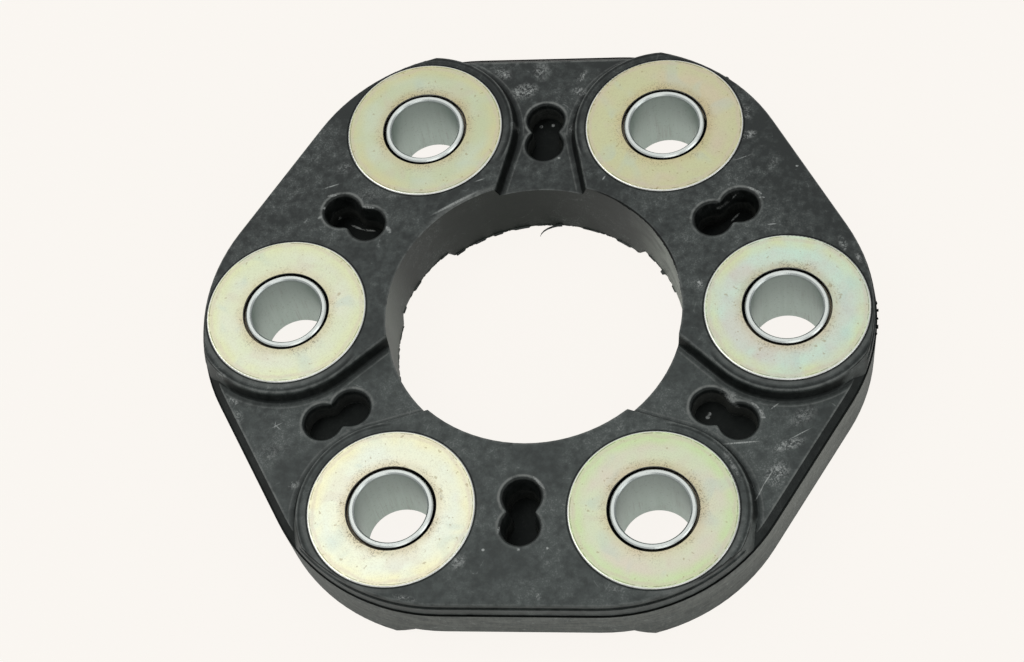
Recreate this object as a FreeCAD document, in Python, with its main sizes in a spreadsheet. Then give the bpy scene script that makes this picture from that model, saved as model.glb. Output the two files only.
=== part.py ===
"""Flexible shaft coupling: a six-bolt rubber disc joint with cord loops moulded into it.

Sizes are millimetres. The shaft's axis is Z, the origin lies on it at mid thickness, and bush 1 is on +X.
Each span between two bushes has a flat outer side. The upper cord loops tie bushes 1-2, 3-4 and 5-6
together, and the lower ones 2-3, 4-5 and 6-1. The rubber stands up in a pad over each loop, on the side
where the loop lies, and drops to a valley where there is none, so pads and valleys alternate.
"""

import FreeCAD
import Part
import Sketcher

import math
import os

from FreeCAD import Placement, Rotation, Vector

BUSHES = 6
LAYER_LOOPS = BUSHES // 2
SPAN_TURN = 360.0 / BUSHES
UPPER_SPAN_ANGLE = SPAN_TURN / 2
LOWER_SPAN_ANGLE = UPPER_SPAN_ANGLE + SPAN_TURN
TOLERANCE = 1e-4

DRIVING_SIZES = (
    ("pitch_diameter", 100.0, "circle through the bush centres"),
    ("sleeve_length", 17.0, "steel sleeve, end to end"),
    ("sleeve_bore", 14.2, "clearance bore for an M14 bolt"),
    ("sleeve_wall", 1.15, "tube wall of a sleeve"),
    ("sleeve_chamfer", 0.3, "chamfer on the edges of a sleeve's ends"),
    ("washer_diameter", 32.5, "support washer"),
    ("washer_thickness", 1.5, "support washer"),
    ("washer_clearance", 0.5, "gap all round between a sleeve and a support washer"),
    ("washer_setback", 0.1, "support washer's face below the sleeve's end"),
    ("washer_edge_round", 0.3, "stamped edge of a support washer"),
    ("divider_thickness", 1.0, "middle washer between the two cord layers"),
    ("divider_overhang", 2.0, "middle washer's edge beyond the cords"),
    ("cord_wrap", 3.75, "thickness of the cord bundle round a sleeve"),
    ("flat_cover", 8.25, "rubber outside the cords, on a flat side"),
    ("corner_cover", 1.25, "rubber outside the support washer, at a corner"),
    ("inner_cover", 1.7, "rubber between the cords and the centre hole"),
    ("rubber_setback", 0.3, "pad's face below the sleeve's end"),
    ("valley_depth", 2.8, "valley below the pad's face"),
    ("valley_draft", 18.0, "slope of a valley's walls, degrees"),
    ("valley_overrun", 4.5, "valley's walls round a bush, past its centre line, on the flat side"),
    ("throat_flare", 12.5, "turn of a valley's walls towards the centre hole, degrees"),
    ("valley_foot_round", 0.7, "round at the foot of a valley's walls"),
    ("washer_lip", 2.15, "pad's rim round a support washer, on a valley's side"),
    ("parting_depth", 4.15, "mould's parting line below the upper pad's face"),
    ("parting_step", 0.3, "upper mould half set in at the parting line"),
    ("lower_draft", 1.5, "taper of the side below the parting line, degrees"),
    ("ledge_height", 2.6, "ledge under an upper pad's side, above the parting line"),
    ("ledge_width", 0.3, "ledge under an upper pad's side"),
    ("pad_edge_round", 0.5, "edges of a pad's face"),
    ("bevel_width", 1.3, "bevel along a valley's outer edge, seen from above"),
    ("bevel_height", 1.3, "bevel along a valley's outer edge, seen from the side"),
    ("pocket_fill", 0.645, "round end of a pocket, share of the valley's floor beside it"),
    ("pocket_lobe_spacing", 6.2, "between the two round ends"),
    ("pocket_waist_radius", 1.8, "round that narrows a pocket's middle"),
    ("pocket_offset", 0.6, "pocket's centre outside the line between two bushes"),
    ("pocket_draft", 6.0, "taper of a pocket's walls, degrees"),
    ("pocket_rim_round", 0.6, "soft rim of a pocket"),
    ("pocket_web", 2.0, "rubber left between an upper and a lower pocket"),
)

DERIVED_SIZES = (
    ("pitch_radius", "=pitch_diameter / 2", "bush centre from the axis"),
    ("half_chord", "=pitch_radius * sin(30 deg)", "half the distance between two bushes"),
    ("chord_distance", "=pitch_radius * cos(30 deg)", "line between two bushes from the axis"),
    ("sleeve_radius", "=sleeve_bore / 2 + sleeve_wall", "outside of a sleeve"),
    ("washer_radius", "=washer_diameter / 2", "outside of a support washer"),
    ("loop_radius", "=sleeve_radius + cord_wrap", "outside of the cords round a sleeve"),
    ("divider_radius", "=loop_radius + divider_overhang", "outside of a middle washer"),
    ("flat_distance", "=chord_distance + loop_radius + flat_cover", "flat side from the axis"),
    ("corner_distance", "=pitch_radius + washer_radius + corner_cover", "corner from the axis"),
    ("corner_radius", "=(flat_distance / cos(30 deg) - corner_distance) / (1 / cos(30 deg) - 1)",
     "arc that joins two flat sides"),
    ("corner_centre", "=corner_distance - corner_radius", "that arc's centre from the axis"),
    ("hole_radius", "=chord_distance - loop_radius - inner_cover", "centre hole"),
    ("sleeve_level", "=sleeve_length / 2", "sleeve's end above mid thickness"),
    ("washer_level", "=sleeve_level - washer_setback", "support washer's face"),
    ("seat_level", "=washer_level - washer_thickness", "support washer's seat"),
    ("pad_level", "=sleeve_level - rubber_setback", "pad's face"),
    ("valley_level", "=pad_level - valley_depth", "valley's floor"),
    ("parting_level", "=pad_level - parting_depth", "mould's parting line"),
    ("layer_level", "=divider_thickness / 2", "cord layer's inner side"),
    ("web_level", "=pocket_web / 2", "pocket's floor"),
    ("ledge_level", "=parting_level + ledge_height", "ledge under an upper pad's side"),
    ("ledge_inset", "=parting_step + ledge_width", "upper pad's side set in above the ledge"),
    ("beyond_radius", "=corner_distance + ledge_inset", "circle outside everything"),
    ("lip_radius", "=washer_radius + washer_lip", "pad's rim round a support washer"),
    ("foot_radius", "=lip_radius + valley_depth * tan(valley_draft * 1 deg)", "foot of a valley's wall"),
    ("pocket_room", "=sqrt(half_chord ^ 2 + (pocket_lobe_spacing / 2 - pocket_offset) ^ 2) - foot_radius",
     "valley's floor from the wall's foot to a round end's centre"),
    ("pocket_lobe_radius", "=pocket_fill * pocket_room", "round end of a pocket, below its rim"),
)

doc = FreeCAD.newDocument("flexible_shaft_coupling")
sheet = doc.addObject("Spreadsheet::Sheet", "Sizes")


def fill_sheet():
    """Write every size with its alias: the driving ones as plain numbers, the others as formulas."""
    for row, (name, value, note) in enumerate(DRIVING_SIZES + DERIVED_SIZES, start=1):
        sheet.set(f"A{row}", name)
        sheet.set(f"B{row}", str(value))
        sheet.setAlias(f"B{row}", name)
        sheet.set(f"C{row}", note)
    doc.recompute()


def size(name):
    """Value of a size, for starting geometry and for finding edges."""
    value = getattr(sheet, name)
    return float(getattr(value, "Value", value))


def new_body(label):
    """Empty body whose label names its file."""
    body = doc.addObject("PartDesign::Body", label)
    body.Label = label
    return body


def origin_feature(body, role):
    """One of the body's own origin planes or axes."""
    return next(item for item in body.Origin.OriginFeatures if item.Role == role)


def new_sketch(body, name, level, turn=0.0):
    """Sketch on the body's XY plane, lifted to a level (an expression) and turned about Z."""
    sketch = body.newObject("Sketcher::SketchObject", name)
    sketch.AttachmentSupport = (origin_feature(body, "XY_Plane"), "")
    sketch.MapMode = "FlatFace"
    sketch.AttachmentOffset = Placement(Vector(), Rotation(Vector(0, 0, 1), turn))
    sketch.setExpression("AttachmentOffset.Base.z", level)
    return sketch


def bind(sketch, name, expression, *constraint):
    """Add a dimension and tie it to an expression."""
    index = sketch.addConstraint(Sketcher.Constraint(*constraint))
    sketch.renameConstraint(index, name)
    sketch.setExpression(f"Constraints.{name}", expression)


def pin_centre(sketch, curve, name, x, y=None):
    """Hold a circle's or an arc's centre at an X and a Y, which are expressions or None for zero."""
    centre = sketch.Geometry[curve].Center
    for letter, expression, value, axis in (("X", x, centre.x, -2), ("Y", y, centre.y, -1)):
        if expression is None:
            sketch.addConstraint(Sketcher.Constraint("PointOnObject", curve, 3, axis))
        else:
            bind(sketch, f"{name}_{letter}", expression, f"Distance{letter}", -1, 1, curve, 3, value)


def add_circle(sketch, name, radius, x=None):
    """Circle centred on the sketch's X axis, given by the names of its radius and of its centre's X."""
    centre = Vector(size(x) if x else 0, 0, 0)
    curve = sketch.addGeometry(Part.Circle(centre, Vector(0, 0, 1), size(radius)))
    pin_centre(sketch, curve, name, f"Sizes.{x}" if x else None)
    bind(sketch, f"{name}_radius", f"Sizes.{radius}", "Radius", curve, size(radius))


def add_arc(sketch, centre, radius, start, end):
    """Arc between two angles in degrees."""
    circle = Part.Circle(centre, Vector(0, 0, 1), radius)
    return sketch.addGeometry(Part.ArcOfCircle(circle, math.radians(start), math.radians(end)))


def add_line(sketch, start, end):
    """Straight line between two points."""
    return sketch.addGeometry(Part.LineSegment(start, end))


def polar(centre, radius, angle):
    """Point at a distance and an angle in degrees from a centre."""
    turn = math.radians(angle)
    return centre + Vector(radius * math.cos(turn), radius * math.sin(turn), 0)


def join(sketch, kind, *ends):
    """Join pairs of ends, each given as curve, end, curve, end."""
    for pair in ends:
        sketch.addConstraint(Sketcher.Constraint(kind, *pair))


def outline_profile(body, name, level, inset=None):
    """The coupling's outline: six flat sides joined by six tangent arcs, set in by a named size."""
    sketch = new_sketch(body, name, level)
    radius = size("corner_radius") - (size(inset) if inset else 0)
    half = SPAN_TURN / 2
    arcs = []
    for corner in range(BUSHES):
        angle = SPAN_TURN * corner
        centre = polar(Vector(), size("corner_centre"), angle)
        arcs.append(add_arc(sketch, centre, radius, angle - half, angle + half))
    for corner, arc in enumerate(arcs):
        following = arcs[(corner + 1) % BUSHES]
        side = add_line(sketch, sketch.Geometry[arc].EndPoint, sketch.Geometry[following].StartPoint)
        join(sketch, "Tangent", (side, 1, arc, 2), (side, 2, following, 1))
    for corner, arc in enumerate(arcs):
        turn = f"({SPAN_TURN * corner} deg)"
        on_axis = corner % LAYER_LOOPS == 0
        pin_centre(sketch, arc, f"corner_{corner + 1}", f"Sizes.corner_centre * cos{turn}",
                   None if on_axis else f"Sizes.corner_centre * sin{turn}")
    for arc in arcs[1:]:
        sketch.addConstraint(Sketcher.Constraint("Equal", arcs[0], arc))
    expression = "Sizes.corner_radius" + (f" - Sizes.{inset}" if inset else "")
    bind(sketch, "corner_radius", expression, "Radius", arcs[0], radius)
    return sketch


def valley_profile(body, name, level, span_angle):
    """Plan of a valley in one span, which lies along the sketch's X axis.

    Its walls run round the two bushes, outside the washers' rims: past the outline on the flat side, and
    turned a little apart towards the centre hole.
    """
    sketch = new_sketch(body, name, level, span_angle)
    radius = size("lip_radius")
    past = math.degrees(math.asin(size("valley_overrun") / radius))
    throat = 90 + size("throat_flare")
    outer_reach = size("corner_distance") + size("lip_radius") / 2
    inner_reach = size("hole_radius") / 2
    ends = []
    for side, name_of_side in ((-1, "right"), (1, "left")):
        centre = Vector(size("chord_distance"), side * size("half_chord"), 0)
        angles = (-past, throat) if side < 0 else (360 - throat, 360 + past)
        arc = add_arc(sketch, centre, radius, *angles)
        outer_end, inner_end = (1, 2) if side < 0 else (2, 1)
        outer_point = polar(centre, radius, side * past)
        inner_point = polar(centre, radius, -side * throat)
        outer_far = Vector(outer_reach, outer_point.y, 0)
        inner_run = inner_point.x - inner_reach
        spread = math.tan(math.radians(size("throat_flare")))
        inner_far = inner_point + Vector(-inner_run, side * inner_run * spread, 0)
        outer = add_line(sketch, outer_point, outer_far)
        inner = add_line(sketch, inner_point, inner_far)
        join(sketch, "Coincident", (outer, 1, arc, outer_end))
        join(sketch, "Horizontal", (outer,))
        join(sketch, "Tangent", (inner, 1, arc, inner_end))
        pin_centre(sketch, arc, name_of_side, "Sizes.chord_distance",
                   "Sizes.half_chord" if side > 0 else "-Sizes.half_chord")
        bind(sketch, f"{name_of_side}_radius", "Sizes.lip_radius", "Radius", arc, radius)
        bind(sketch, f"{name_of_side}_overrun", f"{side} * (Sizes.half_chord + Sizes.valley_overrun)",
             "DistanceY", -1, 1, outer, 1, outer_point.y)
        bind(sketch, f"{name_of_side}_throat", f"{side} * (180 - Sizes.throat_flare)",
             "Angle", inner, math.radians(side * (180 - size("throat_flare"))))
        ends.append((outer, inner, outer_far, inner_far))
    for which, reach, expression in ((0, outer_reach, "Sizes.corner_distance + Sizes.lip_radius / 2"),
                                     (1, inner_reach, "Sizes.hole_radius / 2")):
        right, left = ends[0], ends[1]
        closing = add_line(sketch, right[which + 2], left[which + 2])
        join(sketch, "Coincident", (closing, 1, right[which], 2), (closing, 2, left[which], 2))
        join(sketch, "Vertical", (closing,))
        bind(sketch, ("outer_reach", "inner_reach")[which], expression,
             "DistanceX", -1, 1, closing, 1, reach)
    return sketch


def pocket_profile(body, name, level, span_angle):
    """Plan of a pocket: two round ends and a waist, along the sketch's X axis."""
    sketch = new_sketch(body, name, level, span_angle)
    lobe, waist = size("pocket_lobe_radius"), size("pocket_waist_radius")
    half_spacing = size("pocket_lobe_spacing") / 2
    middle = Vector(size("chord_distance") + size("pocket_offset"), 0, 0)
    waist_distance = math.sqrt((lobe + waist) ** 2 - half_spacing ** 2)
    opening = math.degrees(math.atan2(waist_distance, half_spacing))
    inner_lobe = add_arc(sketch, middle - Vector(half_spacing, 0, 0), lobe, opening, 360 - opening)
    outer_lobe = add_arc(sketch, middle + Vector(half_spacing, 0, 0), lobe, opening - 180, 180 - opening)
    left_waist = add_arc(sketch, middle + Vector(0, waist_distance, 0), waist, 180 + opening, 360 - opening)
    right_waist = add_arc(sketch, middle - Vector(0, waist_distance, 0), waist, opening, 180 - opening)
    join(sketch, "Tangent", (inner_lobe, 1, left_waist, 1), (left_waist, 2, outer_lobe, 2),
         (outer_lobe, 1, right_waist, 1), (right_waist, 2, inner_lobe, 2))
    place = "Sizes.chord_distance + Sizes.pocket_offset"
    pin_centre(sketch, inner_lobe, "inner_lobe", f"{place} - Sizes.pocket_lobe_spacing / 2")
    pin_centre(sketch, outer_lobe, "outer_lobe", f"{place} + Sizes.pocket_lobe_spacing / 2")
    for name_of_arc, arc, radius in (("inner_lobe", inner_lobe, "pocket_lobe_radius"),
                                     ("outer_lobe", outer_lobe, "pocket_lobe_radius"),
                                     ("left_waist", left_waist, "pocket_waist_radius"),
                                     ("right_waist", right_waist, "pocket_waist_radius")):
        bind(sketch, f"{name_of_arc}_radius", f"Sizes.{radius}", "Radius", arc, size(radius))
    return sketch


def slot_profile(sketch, name, radius):
    """Slot round two neighbouring bushes, which stand at plus and minus half a chord along Y."""
    reach = size(radius)
    x, half = size("chord_distance"), size("half_chord")
    far = add_arc(sketch, Vector(x, half, 0), reach, 0, 180)
    near = add_arc(sketch, Vector(x, -half, 0), reach, 180, 360)
    outer = add_line(sketch, Vector(x + reach, -half, 0), Vector(x + reach, half, 0))
    inner = add_line(sketch, Vector(x - reach, half, 0), Vector(x - reach, -half, 0))
    join(sketch, "Tangent", (outer, 1, near, 2), (outer, 2, far, 1), (inner, 1, far, 2), (inner, 2, near, 1))
    pin_centre(sketch, far, f"{name}_far", "Sizes.chord_distance", "Sizes.half_chord")
    pin_centre(sketch, near, f"{name}_near", "Sizes.chord_distance", "-Sizes.half_chord")
    bind(sketch, f"{name}_radius", f"Sizes.{radius}", "Radius", far, reach)
    sketch.addConstraint(Sketcher.Constraint("Equal", far, near))


def extrude(body, kind, sketch, name, length, draft=None, reverse=False):
    """Pad or pocket of a sketch. A pad rises and a pocket sinks, unless reversed."""
    doc.recompute()
    feature = body.newObject(f"PartDesign::{kind}", name)
    feature.Profile = sketch
    feature.setExpression("Length", length)
    feature.Reversed = reverse
    if draft:
        feature.setExpression("TaperAngle", draft)
    return feature


def repeat(body, feature, count):
    """Copies of a feature, evenly round the coupling's axis."""
    doc.recompute()
    pattern = body.newObject("PartDesign::PolarPattern", feature.Name + "Pattern")
    pattern.Originals = [feature]
    pattern.Axis = (origin_feature(body, "Z_Axis"), [""])
    pattern.Angle = 360
    pattern.Occurrences = count
    body.Tip = pattern
    return pattern


def edges_where(shape, test):
    """Names of the edges that pass a test."""
    return [f"Edge{number}" for number, edge in enumerate(shape.Edges, start=1) if test(edge)]


def at_level(edge, level):
    """True for an edge that lies flat at a height."""
    box = edge.BoundBox
    return abs(box.ZMin - level) < TOLERANCE and abs(box.ZMax - level) < TOLERANCE


def dress(body, kind, name, expression, test=None, names=()):
    """Round or chamfer on the named edges, or on those that pass a test."""
    doc.recompute()
    base = body.Tip
    feature = body.newObject(f"PartDesign::{kind}", name)
    feature.Base = (base, edges_where(base.Shape, test) if test else names)
    feature.setExpression("Radius" if kind == "Fillet" else "Size", expression)
    return feature


def sides_of_floors(edge):
    """True for the straight outer edge of a valley's floor, above or below."""
    if not any(at_level(edge, sign * size("valley_level")) for sign in (1, -1)):
        return False
    middle = edge.CenterOfMass
    squint = edge.tangentAt(edge.FirstParameter).dot(middle.normalize())
    return abs(squint) < TOLERANCE and edge.CenterOfMass.Length > size("chord_distance") + size("loop_radius")


def is_valley_wall(face):
    """True for a face that slopes as the valleys' walls do."""
    first_u, last_u, first_v, last_v = face.ParameterRange
    normal = face.normalAt((first_u + last_u) / 2, (first_v + last_v) / 2)
    return abs(abs(normal.z) - math.sin(math.radians(size("valley_draft")))) < TOLERANCE


def wall_edges(shape, level):
    """Names of the edges where the valleys' walls meet a level."""
    found = [edge for face in shape.Faces if is_valley_wall(face) for edge in face.Edges
             if at_level(edge, level)]
    return edges_where(shape, lambda edge: any(edge.isSame(item) for item in found))


def at_pad_edge(edge):
    """True for an edge of a pad's face, except the centre hole's."""
    ends = [vertex.Point for vertex in edge.Vertexes]
    return any(at_level(edge, sign * size("pad_level")) for sign in (1, -1)) and any(
        math.hypot(end.x, end.y) > size("hole_radius") + TOLERANCE for end in ends)


def add_halves(body):
    """Outline of both mould halves up to the pads' faces."""
    lower = outline_profile(body, "LowerOutline", "Sizes.parting_level")
    extrude(body, "Pad", lower, "LowerHalf", "Sizes.parting_level + Sizes.pad_level",
            "-Sizes.lower_draft", reverse=True)
    upper = outline_profile(body, "UpperOutline", "Sizes.parting_level", "parting_step")
    extrude(body, "Pad", upper, "UpperHalf", "Sizes.pad_level - Sizes.parting_level")


def add_valleys(body):
    """Valleys between the pads, three above and three below in the other spans, with bevelled sides."""
    for name, sign, angle in (("Upper", 1, LOWER_SPAN_ANGLE), ("Lower", -1, UPPER_SPAN_ANGLE)):
        level = "Sizes.pad_level" if sign > 0 else "-Sizes.pad_level"
        sketch = valley_profile(body, name + "ValleyPlan", level, angle)
        repeat(body, extrude(body, "Pocket", sketch, name + "Valley", "Sizes.valley_depth",
                             "-Sizes.valley_draft", reverse=sign < 0), LAYER_LOOPS)
    bevel = dress(body, "Chamfer", "Bevels", "Sizes.bevel_width", sides_of_floors)
    bevel.ChamferType = "Two distances"
    bevel.setExpression("Size2", "Sizes.bevel_height")


def add_ledge(body):
    """Sides of the upper pads cut back above a narrow ledge."""
    sketch = outline_profile(body, "PadSidePlan", "Sizes.pad_level", "ledge_inset")
    add_circle(sketch, "beyond", "beyond_radius")
    extrude(body, "Pocket", sketch, "PadSides", "Sizes.pad_level - Sizes.ledge_level")


def add_centre_hole(body):
    """Centre hole, from face to face."""
    sketch = new_sketch(body, "CentreHolePlan", "Sizes.pad_level")
    add_circle(sketch, "hole", "hole_radius")
    extrude(body, "Pocket", sketch, "CentreHole", "2 * Sizes.pad_level")


def round_pads(body):
    """Rounds at the feet of the valleys' walls and along the edges of the pads' faces."""
    for name, sign in (("Upper", 1), ("Lower", -1)):
        doc.recompute()
        names = wall_edges(body.Tip.Shape, sign * size("valley_level"))
        dress(body, "Fillet", name + "Feet", "Sizes.valley_foot_round", names=names)
    dress(body, "Fillet", "PadEdges", "Sizes.pad_edge_round", at_pad_edge)


def add_pockets(body):
    """Blind pockets between the cords' two runs: one above and one below in every span."""
    for name, start, angle, sign in (("PadPocket", "pad_level", UPPER_SPAN_ANGLE, 1),
                                     ("ValleyPocket", "valley_level", LOWER_SPAN_ANGLE, 1),
                                     ("UnderPadPocket", "pad_level", LOWER_SPAN_ANGLE, -1),
                                     ("UnderValleyPocket", "valley_level", UPPER_SPAN_ANGLE, -1)):
        level = f"Sizes.{start}" if sign > 0 else f"-Sizes.{start}"
        sketch = pocket_profile(body, name + "Plan", level, angle)
        repeat(body, extrude(body, "Pocket", sketch, name, f"Sizes.{start} - Sizes.web_level",
                             "-Sizes.pocket_draft", reverse=sign < 0), LAYER_LOOPS)


def at_pocket_rim(edge):
    """True for an edge of a pocket's mouth, whichever face it opens in."""
    levels = [sign * size(name) for name in ("pad_level", "valley_level") for sign in (1, -1)]
    radii = (size("pocket_lobe_radius"), size("pocket_waist_radius"))
    return any(at_level(edge, level) for level in levels) and any(
        abs(getattr(edge.Curve, "Radius", 0) - radius) < TOLERANCE for radius in radii)


def add_bush_seats(body):
    """Holes for the sleeves, and counterbores above and below for the support washers."""
    hole = new_sketch(body, "SleeveHolePlan", "Sizes.pad_level")
    add_circle(hole, "sleeve", "sleeve_radius", "pitch_radius")
    repeat(body, extrude(body, "Pocket", hole, "SleeveHole", "2 * Sizes.pad_level"), BUSHES)
    for name, sign in (("UpperSeat", 1), ("LowerSeat", -1)):
        seat = new_sketch(body, name + "Plan", "Sizes.pad_level" if sign > 0 else "-Sizes.pad_level")
        add_circle(seat, "washer", "washer_radius", "pitch_radius")
        repeat(body, extrude(body, "Pocket", seat, name, "Sizes.pad_level - Sizes.seat_level",
                             reverse=sign < 0), BUSHES)


def bush_centres():
    """Centres of the six bushes, bush 1 first."""
    return [polar(Vector(), size("pitch_radius"), SPAN_TURN * bush) for bush in range(BUSHES)]


def ring(label, level, length, outer, inner_radius):
    """Body of a ring on bush 1's place: its levels and its bore are expressions."""
    body = new_body(label)
    sketch = new_sketch(body, label + "_plan", level)
    add_circle(sketch, "outer", outer)
    curve = sketch.addGeometry(Part.Circle(Vector(), Vector(0, 0, 1), size(outer) / 2))
    pin_centre(sketch, curve, "inner", None)
    bind(sketch, "inner_radius", inner_radius, "Radius", curve, size(outer) / 2)
    extrude(body, "Pad", sketch, label + "_ring", length)
    return body


def seat_on_bush(body, bush):
    """Move a body from the axis to its bush."""
    body.Placement = Placement(bush_centres()[bush], Rotation(Vector(0, 0, 1), SPAN_TURN * bush))


def add_sleeve(bush):
    """Steel sleeve: a tube with chamfered ends, which takes the bolt and stops the washers' clamping."""
    label = f"sleeve_{bush + 1}"
    body = ring(label, "-Sizes.sleeve_level", "Sizes.sleeve_length", "sleeve_radius",
                "Sizes.sleeve_bore / 2")
    dress(body, "Chamfer", label + "_edges", "Sizes.sleeve_chamfer",
          lambda edge: edge.Curve.TypeId == "Part::GeomCircle")
    seat_on_bush(body, bush)
    return body


def add_support_washer(bush, side):
    """Zinc-plated washer flush with the pad, its outer edge rounded on the outside."""
    label = ("upper" if side > 0 else "lower") + f"_washer_{bush + 1}"
    level = "Sizes.seat_level" if side > 0 else "-Sizes.washer_level"
    body = ring(label, level, "Sizes.washer_thickness", "washer_radius",
                "Sizes.sleeve_radius + Sizes.washer_clearance")
    face = side * size("washer_level")
    dress(body, "Fillet", label + "_edge", "Sizes.washer_edge_round",
          lambda edge: at_level(edge, face) and edge.Curve.Radius > size("loop_radius"))
    seat_on_bush(body, bush)
    return body


def add_divider_washer(bush):
    """Middle washer, which keeps the two cord layers apart on a sleeve."""
    body = ring(f"divider_washer_{bush + 1}", "-Sizes.layer_level", "Sizes.divider_thickness",
                "divider_radius", "Sizes.sleeve_radius")
    seat_on_bush(body, bush)
    return body


def add_cord_loop(label, side, span_angle):
    """Bundle of wound cord round two neighbouring sleeves, between the middle and a support washer."""
    body = new_body(label)
    sketch = new_sketch(body, label + "_plan", "Sizes.layer_level" if side > 0 else "-Sizes.seat_level")
    slot_profile(sketch, "outer", "loop_radius")
    slot_profile(sketch, "inner", "sleeve_radius")
    extrude(body, "Pad", sketch, label + "_bundle", "Sizes.seat_level - Sizes.layer_level")
    body.Placement = Placement(Vector(), Rotation(Vector(0, 0, 1), span_angle))
    return body


def add_rubber(inserts):
    """Moulded rubber: the outer form with everything that is moulded into it taken out."""
    blank = new_body("rubber_blank")
    add_halves(blank)
    add_valleys(blank)
    add_ledge(blank)
    add_centre_hole(blank)
    round_pads(blank)
    add_pockets(blank)
    dress(blank, "Fillet", "PocketRims", "Sizes.pocket_rim_round", at_pocket_rim)
    add_bush_seats(blank)
    moulded_in = doc.addObject("Part::Compound", "MouldedIn")
    moulded_in.Links = inserts
    rubber = doc.addObject("Part::Cut", "rubber_body")
    rubber.Base = blank
    rubber.Tool = moulded_in
    rubber.Label = "rubber_body"
    return rubber


def check_document(nodes):
    """Stop if anything failed, if a feature changed nothing or if a piece isn't one sound solid."""
    for item in doc.Objects:
        if "Invalid" in item.State or "Error" in item.State:
            raise RuntimeError(f"{item.Name} failed: {item.State}")
        base = getattr(item, "BaseFeature", None)
        if item.isDerivedFrom("PartDesign::Feature") and base is not None:
            if abs(item.Shape.Volume - base.Shape.Volume) < TOLERANCE:
                raise RuntimeError(f"{item.Name} changes nothing")
    for node in nodes:
        shape = node.Shape
        if shape.isNull() or not shape.isValid() or len(shape.Solids) != 1:
            raise RuntimeError(f"{node.Label} isn't one sound solid")


def export(nodes):
    """One STEP file for each piece, named after it."""
    os.makedirs("parts", exist_ok=True)
    for node in nodes:
        node.Shape.exportStep(f"parts/{node.Label}.step")
        print(node.Label, round(node.Shape.Volume, 1))


fill_sheet()
sleeves = [add_sleeve(bush) for bush in range(BUSHES)]
support_washers = [add_support_washer(bush, side) for side in (1, -1) for bush in range(BUSHES)]
divider_washers = [add_divider_washer(bush) for bush in range(BUSHES)]
cord_loops = [
    add_cord_loop(f"{layer}_cord_loop_{loop + 1}", side, first_angle + 2 * SPAN_TURN * loop)
    for layer, side, first_angle in (("upper", 1, UPPER_SPAN_ANGLE), ("lower", -1, LOWER_SPAN_ANGLE))
    for loop in range(LAYER_LOOPS)
]
rubber_body = add_rubber(divider_washers + cord_loops)
doc.recompute()
pieces = [rubber_body] + sleeves + support_washers + divider_washers + cord_loops
check_document(pieces)
export(pieces)
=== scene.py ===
"""Dresses the flexible shaft coupling and shows it on a pale floor, from the photograph's viewpoint.

Places are in metres in the part's own frame: the axis is Z, bush 1 is on +X, and the seen side is +Z.
Sizes that end in _mm are millimetres, and so are the places and distances inside a finish.
"""

import logging
import math
from dataclasses import dataclass, field
from enum import Enum
from functools import reduce
from math import radians
from typing import Any, Callable, Mapping, Optional, Sequence, Union

import bpy
from bpy.types import Material, Object
from mathutils import Matrix, Vector, noise


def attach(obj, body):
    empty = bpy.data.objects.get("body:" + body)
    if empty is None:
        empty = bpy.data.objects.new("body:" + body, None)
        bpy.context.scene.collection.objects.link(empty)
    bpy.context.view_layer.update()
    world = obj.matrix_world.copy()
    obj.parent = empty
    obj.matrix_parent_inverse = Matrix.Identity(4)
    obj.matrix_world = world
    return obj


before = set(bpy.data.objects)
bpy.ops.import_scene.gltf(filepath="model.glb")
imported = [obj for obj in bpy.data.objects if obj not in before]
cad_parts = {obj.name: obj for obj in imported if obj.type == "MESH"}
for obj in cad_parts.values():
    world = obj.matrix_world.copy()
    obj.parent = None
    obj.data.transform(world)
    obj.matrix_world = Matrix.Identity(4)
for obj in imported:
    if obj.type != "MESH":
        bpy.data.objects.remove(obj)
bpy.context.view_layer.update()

MM = 0.001
SPAN_TURN = radians(60)
PITCH_MM = 50.0
HOLE_MM = 29.6
WASHER_MM = 16.25
FACE_Z_MM = 8.2
VALLEY_Z_MM = 5.4
PARTING_Z_MM = 4.05
BODY = "root"
RUBBER_SLOT = "moulded_rubber"

Colour = tuple[float, float, float]
Place = tuple[float, float, float]
Value = Union["Shade", float, int]
Paint = Union["Shade", Colour]

log = logging.getLogger("coupling")


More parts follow.
